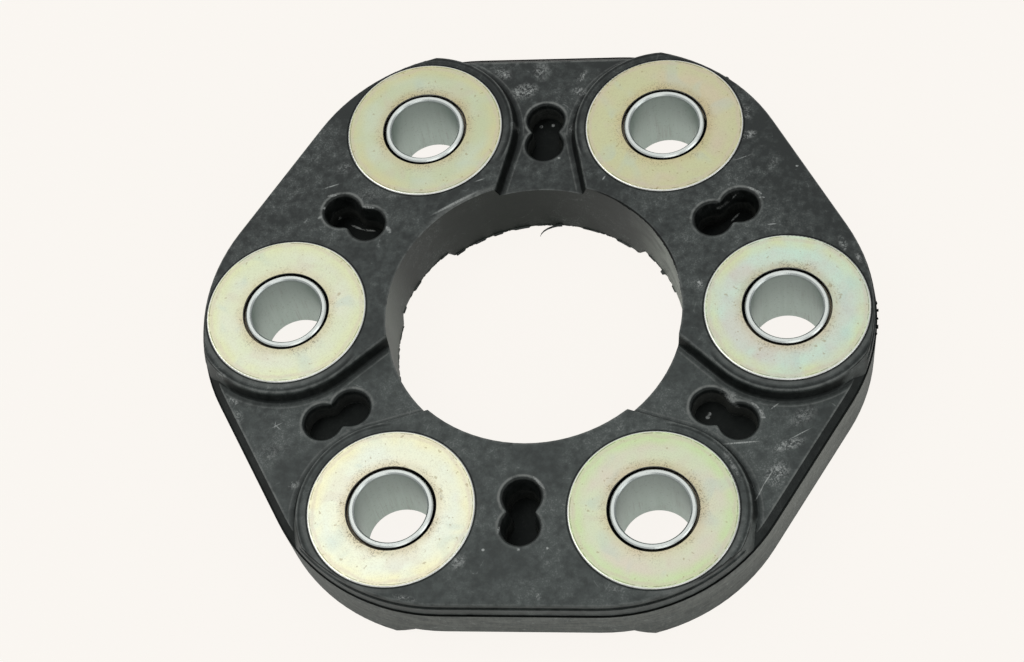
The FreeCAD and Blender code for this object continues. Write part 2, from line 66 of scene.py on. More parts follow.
class Shade:
    """An output of a node. Sums on it add Math nodes to its graph."""

    def __init__(self, graph: "Graph", socket: Optional[bpy.types.NodeSocket]) -> None:
        """Wrap one output of a node in a graph."""
        self.graph = graph
        self.socket = socket

    def maths(self, operation: str, *values: Value) -> "Shade":
        """A Math node on this value and others."""
        return self.graph.node("ShaderNodeMath", {"operation": operation}, [self, *values])

    def __add__(self, other: Value) -> "Shade":
        """Sum."""
        return self.maths("ADD", other)

    def __sub__(self, other: Value) -> "Shade":
        """Difference."""
        return self.maths("SUBTRACT", other)

    def __rsub__(self, other: Value) -> "Shade":
        """Difference, the other way round."""
        return self.graph.node("ShaderNodeMath", {"operation": "SUBTRACT"}, [other, self])

    def __mul__(self, other: Value) -> "Shade":
        """Product."""
        return self.maths("MULTIPLY", other)

    def __truediv__(self, other: Value) -> "Shade":
        """Quotient."""
        return self.maths("DIVIDE", other)

    def __abs__(self) -> "Shade":
        """Size without its sign."""
        return self.maths("ABSOLUTE")

    def largest(self, *others: Value) -> "Shade":
        """The largest of this value and others."""
        return reduce(lambda most, other: most.maths("MAXIMUM", other), others, self)

    def step(self, low: float, high: float, start: float = 0.0, end: float = 1.0) -> "Shade":
        """Smooth step from one value to another.

        Args:
            low: Where the step starts.
            high: Where it ends. It may be below low.
            start: The result up to low.
            end: The result past high.

        Returns:
            The stepped value.
        """
        if low > high:
            low, high, start, end = high, low, end, start
        return self.graph.node("ShaderNodeMapRange", {"interpolation_type": "SMOOTHSTEP"},
                               [self, low, high, start, end])

    def band(self, middle: float, half_width: float) -> "Shade":
        """1 at a value, falling to 0 at a distance from it."""
        return abs(self - middle).step(half_width, 0.0)

    def split(self) -> list["Shade"]:
        """The three parts of this vector."""
        first = self.graph.node("ShaderNodeSeparateXYZ", inputs=[self])
        return [Shade(self.graph, output) for output in first.socket.node.outputs]

    def clouds(self, size: float, seed: float = 0.0, detail: float = 2.0, roughness: float = 0.5,
               distortion: float = 0.0) -> "Shade":
        """Soft noise from 0 to 1, read at this place.

        Args:
            size: Size of its blotches, in the units of the place.
            seed: Another number gives another pattern.
            detail: Octaves.
            roughness: Strength of the finer octaves.
            distortion: Swirl.

        Returns:
            The noise.
        """
        return self.graph.node("ShaderNodeTexNoise", {"noise_dimensions": "4D"},
                               {"Vector": self, "W": seed, "Scale": 1.0 / size, "Detail": detail,
                                "Roughness": roughness, "Distortion": distortion})

    def grains(self, size: float, share: float, seed: float) -> "Shade":
        """Scattered specks of a size at this place, which cover about a share of the surface."""
        return self.clouds(size, seed, 1.0).step(0.72 - share, 0.76 - share)

    def stretched(self, centre: Place, turn: float, scale: Place) -> "Shade":
        """This place seen from a centre, turned and measured in other lengths."""
        return self.graph.node("ShaderNodeMapping", {"vector_type": "TEXTURE"},
                               [self, centre, (0.0, 0.0, turn), scale])


class Graph:
    """Node tree of a material or a world, with one method that adds any node."""

    def __init__(self, name: str, kept_in: Optional[bpy.types.bpy_prop_collection] = None) -> None:
        """Make what owns the tree, and empty the tree.

        Args:
            name: The owner's name.
            kept_in: The file's list that the owner goes into, or None for the materials.
        """
        self.owner = (bpy.data.materials if kept_in is None else kept_in).new(name)
        self.owner.use_nodes = True
        self.tree = self.owner.node_tree
        self.tree.nodes.clear()

    def node(self, kind: str, settings: Optional[Mapping[str, Any]] = None,
             inputs: Union[Sequence[Any], Mapping[Any, Any]] = (), output: Union[int, str] = 0) -> Shade:
        """Add a node.

        Args:
            kind: The node's type.
            settings: Its own settings.
            inputs: Values or links, by order, index or name.
            output: Which output comes back.

        Returns:
            That output.
        """
        made = self.tree.nodes.new(kind)
        for name, value in (settings or {}).items():
            setattr(made, name, value)
        pairs = inputs.items() if isinstance(inputs, Mapping) else enumerate(inputs)
        for place, value in pairs:
            if isinstance(value, Shade):
                self.tree.links.new(value.socket, made.inputs[place])
            else:
                made.inputs[place].default_value = value
        return Shade(self, made.outputs[output] if made.outputs else None)

    def place_mm(self, centre_mm: Place = (0.0, 0.0, 0.0)) -> Shade:
        """Place on the object in millimetres, from a centre."""
        place = self.node("ShaderNodeTexCoord", output="Object")
        return self.node("ShaderNodeVectorMath", {"operation": "MULTIPLY_ADD"},
                         [place, (1 / MM,) * 3, tuple(-value for value in centre_mm)])

    def join(self, x: Value, y: Value, z: Value) -> Shade:
        """A vector from its three parts."""
        return self.node("ShaderNodeCombineXYZ", inputs=[x, y, z])

    def level(self) -> Shade:
        """1 where the surface lies flat, 0 where it stands upright."""
        return abs(self.node("ShaderNodeNewGeometry", output="Normal").split()[2])

    def coat(self, paint: Paint, *coats: tuple[Value, Paint]) -> Shade:
        """Lay coats of colour over a colour.

        Args:
            paint: The colour underneath.
            coats: A share, which the node keeps from 0 to 1, and a colour each, from the lowest up.

        Returns:
            The colour that shows.
        """
        for share, over in coats:
            first, second = [value if isinstance(value, Shade) else (*value, 1.0) for value in (paint, over)]
            paint = self.node("ShaderNodeMix", {"data_type": "RGBA"}, {0: share, 6: first, 7: second}, 2)
        return paint

    def finish(self, colour: Shade, roughness: Value, metallic: Value, height_mm: Shade,
               settings: Optional[Mapping[str, float]] = None) -> Material:
        """Close the tree with a Bump node and a shader.

        Args:
            colour: Base colour.
            roughness: Roughness.
            metallic: Metallic share.
            height_mm: Relief in millimetres.
            settings: Other values of the shader by name.

        Returns:
            The material.
        """
        bump = self.node("ShaderNodeBump", inputs={"Distance": MM, "Height": height_mm})
        surface = self.node("ShaderNodeBsdfPrincipled", inputs={
            "Base Color": colour, "Roughness": roughness, "Metallic": metallic, "Normal": bump,
            **(settings or {})})
        self.node("ShaderNodeOutputMaterial", inputs={"Surface": surface})
        return self.owner


def rows(kind: type, *values: Sequence[Any]) -> tuple[Any, ...]:
    """Objects of one kind, each from a row of its fields."""
    return tuple(kind(*row) for row in values)


class MarkKind(Enum):
    """Kinds of wear on the rubber."""

    DUST = "dust"
    SCRATCH = "scratch"


@dataclass(frozen=True)
class Mark:
    """One place of wear, in millimetres and degrees."""

    x: float
    y: float
    length: float
    width: float
    turn: float
    strength: float
    z: float = 6.5
    half_height: float = 4.0

    def strength_at(self, place: Shade) -> Shade:
        """How strongly the mark shows: its strength at its middle, below 0 outside.

        Args:
            place: Place in millimetres.

        Returns:
            The strength there.
        """
        near = place.stretched((self.x, self.y, self.z), radians(self.turn),
                               (self.length / 2, self.width / 2, self.half_height))
        away = place.graph.node("ShaderNodeVectorMath", {"operation": "LENGTH"}, [near], "Value")
        return away.maths("MULTIPLY_ADD", -self.strength, self.strength)


@dataclass(frozen=True)
class Fleck:
    """A painted highlight or a light speck, as a spot or thin line in or beside a pocket, between two places
    in millimetres.
    """

    start: Place
    end: Place
    width: float
    strength: float

    def strength_at(self, place: Shade) -> Shade:
        """How strongly the fleck shows: its strength on its line, below 0 outside.

        It is a thin spheroid round its two ends, so the sum of the distances to them tells how far off
        a place lies.

        Args:
            place: Place in millimetres.

        Returns:
            The strength there.
        """
        length = math.dist(self.start, self.end)
        spare = math.hypot(length, self.width) - length
        from_start, from_end = [
            place.graph.node("ShaderNodeVectorMath", {"operation": "DISTANCE"}, [place, end], "Value")
            for end in (self.start, self.end)]
        return (from_start + from_end).maths("MULTIPLY_ADD", -self.strength / spare,
                                             self.strength * (1 + length / spare))


WEAR: Mapping[MarkKind, tuple[Mark, ...]] = {
    MarkKind.DUST: rows(
        Mark, (-5.0, 54.4, 8.0, 5.0, 20, 1.0), (-9.8, 59.0, 6.0, 4.0, 150, 0.7),
        (-1.5, 59.4, 7.0, 5.0, 90, 0.6), (7.0, 54.0, 4.5, 2.6, 160, 1.2), (7.2, 57.8, 5.0, 2.0, 60, 0.8),
        (-6.3, 44.3, 2.4, 3.0, 0, 0.8), (5.8, 44.3, 2.4, 4.0, 10, 0.9), (38.4, -18.2, 6.5, 4.0, 150, 0.9),
        (50.3, -28.6, 9.0, 3.2, 20, 0.8), (48.0, -34.6, 8.0, 6.0, 60, 0.8), (53.0, -22.5, 9.0, 5.0, 40, 0.45),
        (43.2, -37.5, 2.2, 1.3, 0, 1.6), (-59.4, -18.8, 3.4, 1.8, 150, 1.0),
        (-57.9, -22.4, 3.0, 4.5, 20, 0.6), (-50.5, -30.5, 15.0, 9.0, 40, 0.3),
        (-45.0, -37.2, 3.0, 2.4, 0, 0.9), (-61.6, -14.3, 4.0, 1.2, 150, 0.9),
        (42.1, 40.3, 5.5, 3.0, 20, 1.0), (41.7, 46.0, 4.0, 6.0, 20, 0.7), (47.4, 33.5, 8.0, 3.0, 70, 0.4),
        (61.0, 14.2, 5.0, 2.2, 110, 0.9), (64.0, 11.0, 4.5, 1.5, 115, 0.8), (33.0, 5.3, 2.0, 3.4, 10, 1.2),
        (-11.3, -54.3, 5.5, 4.0, 50, 0.75), (4.3, -61.0, 1.4, 2.4, 10, 1.0), (18.8, -59.4, 7.0, 2.0, 10, 0.5),
        (-21.0, -61.6, 8.0, 2.0, 170, 0.6), (-41.1, 34.1, 5.0, 4.0, 40, 0.6),
        (-36.0, 27.0, 12.0, 8.0, 30, 0.35), (39.6, -34.0, 12.0, 1.5, 118, 0.6, 8.0)),
    MarkKind.SCRATCH: rows(
        Mark, (-6.7, -51.8, 0.8, 0.7, 0, 1.6), (5.4, -51.4, 0.7, 0.7, 0, 1.3), (52.1, 32.6, 0.8, 0.6, 0, 1.3),
        (3.2, 37.4, 0.7, 0.6, 0, 1.4), (41.0, -28.2, 9.0, 0.45, 5, 1.1), (44.6, -39.0, 5.0, 0.3, 65, 1.2),
        (46.2, -35.8, 6.0, 0.3, 60, 0.9), (52.4, -26.3, 6.0, 0.3, 30, 0.8), (47.6, -20.4, 2.6, 0.35, 40, 0.9),
        (-49.9, -24.3, 3.6, 0.3, 30, 0.7), (-49.7, -24.6, 3.2, 0.3, 140, 0.6),
        (-50.2, -24.2, 2.0, 0.25, 90, 0.8), (41.2, 34.9, 5.5, 0.3, 22, 0.7), (47.1, 18.9, 2.6, 0.35, 5, 1.1),
        (-17.2, 25.1, 13.0, 0.9, 31, 0.75, 8.2), (-43.5, 29.6, 5.0, 0.4, 20, 0.6, 8.2),
        (-12.6, 30.5, 3.0, 0.35, 20, 0.8), (13.0, 30.5, 1.6, 0.5, 60, 0.9)),
}

POCKET_HIGHLIGHTS_AND_SPECKS: tuple[Fleck, ...] = rows(
    Fleck, ((38.7, 24.1, 1.0), (40.7, 26.5, 1.2), 0.6, 0.9), ((36.0, 24.0, 6.2), (37.2, 24.6, 6.3), 1.6, 0.5),
    ((37.2, 24.6, 6.3), (38.4, 26.0, 5.3), 1.4, 0.5), ((44.5, 25.2, 8.2), (45.6, 25.2, 8.2), 0.5, 1.2),
    ((42.2, 27.7, 8.2), (43.8, 27.0, 8.2), 0.7, 0.8), ((43.8, 27.0, 8.2), (45.0, 26.0, 8.2), 0.7, 0.8),
    ((39.1, 26.6, 5.8), (39.8, 27.0, 6.6), 0.8, 0.7), ((34.5, -20.7, 1.0), (34.6, -20.4, 1.0), 1.0, 1.5),
    ((34.8, -20.0, 1.0), (35.0, -19.7, 1.0), 0.9, 1.3), ((38.0, -17.8, 4.7), (39.4, -19.3, 5.2), 1.8, 0.6),
    ((39.4, -19.3, 5.2), (40.7, -19.9, 3.9), 1.6, 0.5), ((43.1, -19.6, 5.4), (44.6, -20.9, 5.4), 0.8, 0.9),
    ((44.6, -20.9, 5.4), (45.6, -22.7, 5.4), 0.8, 0.9), ((44.8, -22.6, 5.4), (45.8, -22.9, 5.4), 0.6, 1.4),
    ((-40.2, 24.5, 1.0), (-37.8, 23.4, 1.0), 0.6, 1.0), ((-37.8, 23.4, 1.0), (-35.0, 23.0, 1.0), 0.6, 0.9),
    ((-42.8, 25.7, 1.6), (-42.5, 26.0, 1.7), 1.1, 1.0), ((-44.7, 24.2, 8.1), (-44.5, 24.5, 8.1), 0.8, 1.0),
    ((-44.1, 27.2, 8.2), (-42.3, 27.4, 8.2), 0.8, 0.9), ((-36.6, 24.6, 8.0), (-34.0, 24.2, 8.1), 0.7, 0.8),
    ((-31.1, 19.6, 8.2), (-30.2, 18.1, 8.2), 1.2, 0.8), ((-45.6, 21.8, 8.2), (-45.0, 22.2, 8.2), 0.8, 0.9),
    ((-1.6, 48.2, 1.0), (-1.4, 48.3, 1.0), 0.9, 1.5), ((0.9, 48.4, 1.0), (1.1, 48.6, 1.0), 0.9, 1.5),
    ((-0.2, -51.7, 8.2), (0.1, -51.7, 8.2), 0.8, 0.9), ((-4.2, -48.5, 8.2), (-3.9, -47.0, 8.1), 0.7, 0.7),
    ((2.0, -36.6, 8.2), (4.3, -39.2, 8.2), 0.7, 0.7))


def strongest(place: Shade, marks: Sequence[Union[Mark, Fleck]]) -> Shade:
    """How strongly some marks show at a place, where the strongest one counts."""
    first, *others = [mark.strength_at(place) for mark in marks]
    return first.largest(*others)


class Spot:
    """Where a point of the rubber lies among the bushes, pads and valleys: values of its graph."""

    pocket_from_mm: float = 43.9
    lobe_offset_mm: float = 3.1
    lip_radius_mm: float = 18.4
    throat_from_mm: float = 39.3
    throat_half_mm: float = 7.04
    throat_flare: float = 0.222
    light_to_left: float = 0.45
    light_to_back: float = 0.8

    def __init__(self, graph: Graph) -> None:
        """Work out the point's distances and directions.

        Args:
            graph: The material's graph.
        """
        self.place = graph.place_mm()
        x, y, self.z = self.place.split()
        self.y = y
        self.height = abs(self.z)
        self.level = graph.level()
        self.radius = (x * x + y * y).maths("SQRT")
        self.angle = y.maths("ARCTAN2", x)
        turns = self.angle / SPAN_TURN
        to_bush = (turns - turns.maths("ROUND")) * SPAN_TURN
        half = turns - 0.5
        to_span = (half - half.maths("ROUND")) * SPAN_TURN
        crossed = self.radius * to_bush.maths("COSINE") * (2 * PITCH_MM)
        self.bush = (self.radius * self.radius + PITCH_MM ** 2 - crossed).maths("SQRT")
        self.before_bush = (self.angle - to_bush).maths("SINE") * PITCH_MM - y
        pocket = self.angle - to_span
        behind = (y - pocket.maths("SINE") * self.pocket_from_mm) * self.light_to_back
        beside = (x - pocket.maths("COSINE") * self.pocket_from_mm) * self.light_to_left
        self.behind_pocket = behind - beside
        self.along = self.radius * to_span.maths("COSINE")
        self.across = abs(self.radius * to_span.maths("SINE"))
        off_lobe = abs(self.along - self.pocket_from_mm) - self.lobe_offset_mm
        self.lobe = (off_lobe * off_lobe + self.across * self.across).maths("SQRT")
        self.pad = (self.angle * 3.0).maths("SINE") * self.z.maths("SIGN")
        self.valley = self.pad.step(0.1, -0.1)

        # How far past a valley's wall, measured at its top: below zero towards the valley's floor.
        inwards = self.throat_from_mm - self.along
        throat = self.across - self.throat_half_mm - inwards * self.throat_flare
        self.past_wall = (self.lip_radius_mm - self.bush).largest(throat.maths("MINIMUM", inwards * 0.5))

        # 1 on the rim that runs round a washer beside a valley or at a corner, above or below.
        corner = self.radius.step(62.0, 63.5) * self.pad.step(0.50, 0.25)
        beside = self.pad.step(-0.08, -0.28).largest(corner)
        self.lip_side = beside * self.height.step(7.0, 7.6) * self.radius.step(36.0, 38.5)


@dataclass(frozen=True)
class MouldedRubber:
    """Charcoal rubber from the mould: satin, dusty and scuffed, with painted shade where it lies deep and
    painted highlights and light on its rims, pockets and lit sides.
    """

    dark: Colour = (0.011, 0.015, 0.0135)
    light: Colour = (0.052, 0.0625, 0.058)
    dust: Colour = (0.35, 0.365, 0.35)
    scored: Colour = (0.42, 0.44, 0.42)
    rubbed: Colour = (0.15, 0.158, 0.148)
    rough_side: Colour = (0.150, 0.158, 0.140)
    hole_wall: Colour = (0.0085, 0.0140, 0.0100)
    lit_wall: Colour = (0.295, 0.325, 0.280)
    deep: Colour = (0.003, 0.004, 0.0035)
    side_radius_mm: float = 62.0
    bevel_from_mm: float = 61.95
    ledge_z_mm: float = 6.85
    groove_radius_mm: float = 17.85
    ridge_radius_mm: float = 18.30
    pocket_edge_mm: float = 4.25
    pocket_rim_mm: float = 4.45

    def depth(self, spot: Spot) -> Shade:
        """How deep and dark a point lies: walls' feet, pockets, gaps and the mould's joint.

        Args:
            spot: The point.

        Returns:
            0 on open faces, 1 where hardly any light comes.
        """
        in_pocket = spot.across.step(5.7, 5.1) * abs(spot.along - spot.pocket_from_mm).step(7.9, 7.2)
        outer = spot.along.step(60.0, 61.0).largest(spot.radius.step(64.5, 65.5))
        wall = (spot.level.step(0.10, 0.20) * spot.level.step(0.985, 0.80) * spot.height.step(5.25, 5.45)
                * spot.height.step(8.05, 7.1) * (1 - in_pocket) * (1 - outer))
        foot = spot.past_wall.step(-1.9, -1.2) * spot.valley * spot.height.step(5.9, 5.6) * spot.level * 0.5
        pocket = (spot.lobe.step(self.pocket_edge_mm, self.pocket_edge_mm - 0.25)
                  * spot.level.step(0.90, 0.98, 0.66, 0.88))
        washer_gap = abs(spot.bush - WASHER_MM - 0.10).step(0.30, 0.12)
        sleeve_gap = spot.bush.step(9.4, 9.0)
        groove = spot.bush.band(self.groove_radius_mm, 0.42) * spot.lip_side * 0.5
        ledge = spot.z.band(self.ledge_z_mm, 0.55) * outer * (1 - spot.valley) * 0.6
        # Painted shade: a dark line on the top face along the centre hole's rim, from 12 to 74 degrees.
        torn = (spot.radius.step(HOLE_MM + 0.32, HOLE_MM + 0.15) * spot.z.step(7.85, 8.0)
                * spot.angle.step(radians(12), radians(22)) * spot.angle.step(radians(74), radians(62)) * 0.9)
        bevel = outer * spot.valley * spot.level.step(0.50, 0.62) * spot.level.step(0.90, 0.78) * 0.72
        crack = outer * spot.z.band(PARTING_Z_MM + 0.06, 0.30)
        shaded_lip = spot.bush.step(17.5, 17.1) * spot.lip_side * spot.before_bush.step(0.0, -9.0) * 0.22
        return (wall * 0.74).largest(shaded_lip, foot, pocket, washer_gap * 0.7, sleeve_gap, groove, ledge,
                                     torn, bevel, crack)

    def highlights_and_scuffs(self, spot: Spot) -> Shade:
        """Find the painted highlights and scuffs: painted highlights on the pads' rounded tops, the pockets'
        rims and the ridge round a washer, painted highlight lines along the valleys' floors, and a lighter
        rim and scuffs at the centre hole.

        Args:
            spot: The point.

        Returns:
            Strength of the painted highlights and scuffs.
        """
        rounded = spot.level.step(0.30, 0.55) * spot.level.step(0.99, 0.90)
        # Painted highlight on the pockets' rims, strongest on their far left side, towards the light, and on
        # the pads' rounded tops and the ridge round a washer.
        rim = (spot.lobe.band(self.pocket_rim_mm, 0.42) * spot.height.step(4.75, 4.95)
               * spot.behind_pocket.step(-4.0, 4.0, 0.30, 1.5))
        top = rounded * spot.height.step(7.6, 7.8) * 0.55
        ridge = spot.bush.band(self.ridge_radius_mm, 0.24) * spot.lip_side * 0.9
        hole = spot.radius.step(HOLE_MM + 0.5, HOLE_MM + 0.05) * spot.level * 0.6
        scuffed = (spot.radius.step(HOLE_MM + 1.5, HOLE_MM + 0.3) * spot.level
                   * spot.angle.band(radians(120), radians(28)))
        on_floor = spot.level.step(0.8, 0.95)
        # Painted highlight lines along the valleys' floors.
        valley_line = (spot.along.band(self.bevel_from_mm - 0.15, 0.34) * spot.height.step(5.6, 5.5)
                       * on_floor)
        foot_line = (spot.past_wall.band(-2.05, 0.28) * spot.valley * spot.height.step(5.55, 5.45)
                     * on_floor * 0.7)
        return rim.largest(top, ridge, hole, scuffed, valley_line, foot_line)

    def build(self) -> Material:
        """Make the material.

        Returns:
            The material.
        """
        graph = Graph("moulded_rubber")
        spot = Spot(graph)
        place = spot.place
        upright = spot.level.step(0.75, 0.35)
        outside = spot.radius.step(HOLE_MM + 1.0, HOLE_MM + 4.0)
        in_hole = spot.radius.step(HOLE_MM + 0.3, HOLE_MM + 0.1) * upright
        round_side = spot.angle * self.side_radius_mm
        blotches = place.clouds(11.0, 1.0, 3.0, 0.6)
        mottle = place.clouds(1.7, 2.0, 4.0, 0.7)
        grain = place.clouds(0.28, 3.0, 2.0, 0.6)
        fine = place.grains(0.30, 0.18, 4.0)
        coarse = place.clouds(0.9, 5.0, 3.0, 0.7, 0.6).step(0.44, 0.64)
        scratches = place.clouds(9.0, 6.0, 1.0).band(0.5, 0.004) * mottle.step(0.52, 0.66)
        film = blotches.step(0.40, 0.72) * mottle.step(0.35, 0.70)
        dusty = strongest(place, WEAR[MarkKind.DUST]).step(0.0, 0.65) * (coarse * 0.85 + fine * 0.5)
        scored = strongest(place, WEAR[MarkKind.SCRATCH]).step(0.0, 0.55) * grain.step(0.30, 0.5)
        outwards = spot.radius * 0.05
        along_side = graph.join(round_side * 0.16, spot.z, outwards).clouds(0.7, 8.0, 4.0, 0.7)
        up_side = graph.join(round_side, spot.z * 0.3, outwards).clouds(0.6, 9.0, 3.0, 0.7)
        brushed = along_side * 0.65 + up_side * 0.35
        lower_side = upright * outside * spot.z.step(PARTING_Z_MM + 0.15, PARTING_Z_MM - 0.05)
        # Painted light: the rubber's tone is lighter towards -Y, its near side, and darker towards +Y.
        lit_near_side = (spot.y / 60.0).step(1.0, -1.0, -0.33, 0.31)
        valley = spot.valley * spot.height.step(5.8, 5.6) * 0.09
        sides = abs(spot.angle.maths("COSINE")) * spot.radius.step(38.0, 60.0, 0.08, -0.08)
        tone = ((blotches * 0.40 + mottle * 0.60).step(0.36, 0.64) * 0.85 + lit_near_side + valley + sides
                + 0.03)
        fade = spot.z.step(-9.0, PARTING_Z_MM, 0.55, 1.0)
        # Painted light: the outer side below the mould's joint is lighter towards +X.
        lit_right_side = spot.angle.band(radians(-32), radians(34)) * 0.45
        rough = (brushed.step(0.36, 0.64) * 0.75 + 0.15 + lit_right_side) * lower_side * fade
        # Painted shade on the centre hole's wall, darkest on its far side, and painted light on its right and
        # left, broken up in patches.
        shaded = spot.angle.band(radians(104), radians(52)) * 0.35 + 0.5
        patchy_light = graph.join(spot.angle * 9.0, spot.z * 0.8, 0.0).clouds(1.6, 12.0, 3.0, 0.6)
        lit = (spot.angle.step(radians(56), radians(20)) * spot.angle.step(-0.5, 0.0)
               * (patchy_light.step(0.30, 0.62) * 0.6 + 0.42)
               + abs(spot.angle).step(radians(152), radians(184)) * 0.42)
        chalky = graph.join(round_side, spot.z, spot.radius * 0.1).clouds(1.3, 14.0, 4.0, 0.75)
        scuffs = chalky.step(0.54, 0.72) * lower_side * 0.55
        specks = fine * film * 0.26 + film * 0.05 + scuffs * grain.step(0.35, 0.6)
        # Painted highlights and scuffs, laid on in the rubbed colour.
        rubbed = self.highlights_and_scuffs(spot) * (mottle.step(0.30, 0.62) * 0.8 + 0.2)
        # Painted light: the rim round each washer is lighter on its near side, towards -Y; its far side gets
        # painted shade in depth().
        lip = (spot.bush.step(17.45, 17.15) * spot.lip_side * (mottle * 0.5 + 0.1)
               * spot.bush.step(WASHER_MM, WASHER_MM + 0.3))
        depth = self.depth(spot)
        # Painted highlights along the pockets' rims and walls, with light specks, laid on in the dust colour.
        glint = strongest(place, POCKET_HIGHLIGHTS_AND_SPECKS).step(0.0, 0.9) * grain.step(0.32, 0.60)
        colour = graph.coat(
            self.dark, (tone, self.light), (rough, self.rough_side), (in_hole * shaded, self.hole_wall),
            (in_hole * lit, self.lit_wall), (specks + scratches * 0.30, self.dust),
            (dusty * 0.95, self.dust), (scored * 0.75, self.scored), (rubbed * 0.8, self.rubbed),
            (lip * spot.before_bush.step(-6.0, 8.0, 0.0, 0.9), self.rubbed), (depth, self.deep),
            (glint * 0.75, self.dust))
        roughness = mottle * 0.16 + 0.42 + dusty * 0.22 + lower_side * 0.14 + film * 0.06
        height = (grain * 0.012 + mottle * 0.018 + blotches * 0.10 - scratches * 0.012
                  + lower_side * brushed * 0.07)
        matt = depth.maths("MINIMUM", 1.0) * 0.9 * (1 - glint).largest(0.0) + in_hole * (shaded - 0.5)
        return graph.finish(colour, roughness, matt, height, {"IOR": 1.5, "Specular IOR Level": 0.42})


def bush_centre(number: int) -> Place:
    """Place of a bush's axis in millimetres."""
    turn = SPAN_TURN * (number - 1)
    return (PITCH_MM * math.cos(turn), PITCH_MM * math.sin(turn), 0.0)


@dataclass(frozen=True)
class ZincTint:
    """What sets one washer apart from the next: its plating's tints and stain, and the painted reflection
    that makes some washers lighter than others.
    """

    bush: int
    middle: Colour
    patch: Colour
    rim: Colour
    hole: Colour
    stain_side: float
    stain: float


# Washer 5 is painted lighter and washers 2 and 3 darker: a painted reflection, on top of each plating's own
# tint.
ZINC_TINTS_AND_REFLECTIONS: tuple[ZincTint, ...] = rows(
    ZincTint,
    (1, (0.66, 0.84, 0.70), (0.70, 0.72, 0.63), (0.74, 0.79, 0.47), (0.74, 0.72, 0.57), 100, 0.5),
    (2, (0.65, 0.66, 0.40), (0.69, 0.62, 0.43), (0.65, 0.64, 0.39), (0.67, 0.61, 0.36), 20, 0.5),
    (3, (0.61, 0.66, 0.43), (0.64, 0.70, 0.52), (0.68, 0.66, 0.38), (0.66, 0.60, 0.39), 80, 0.45),
    (4, (0.75, 0.80, 0.57), (0.77, 0.80, 0.63), (0.77, 0.80, 0.50), (0.78, 0.75, 0.56), 270, 0.4),
    (5, (0.90, 0.92, 0.72), (0.87, 0.92, 0.78), (0.95, 0.92, 0.61), (0.98, 0.93, 0.73), 255, 0.50),
    (6, (0.71, 0.77, 0.55), (0.75, 0.70, 0.57), (0.64, 0.79, 0.43), (0.80, 0.75, 0.53), 60, 0.55))


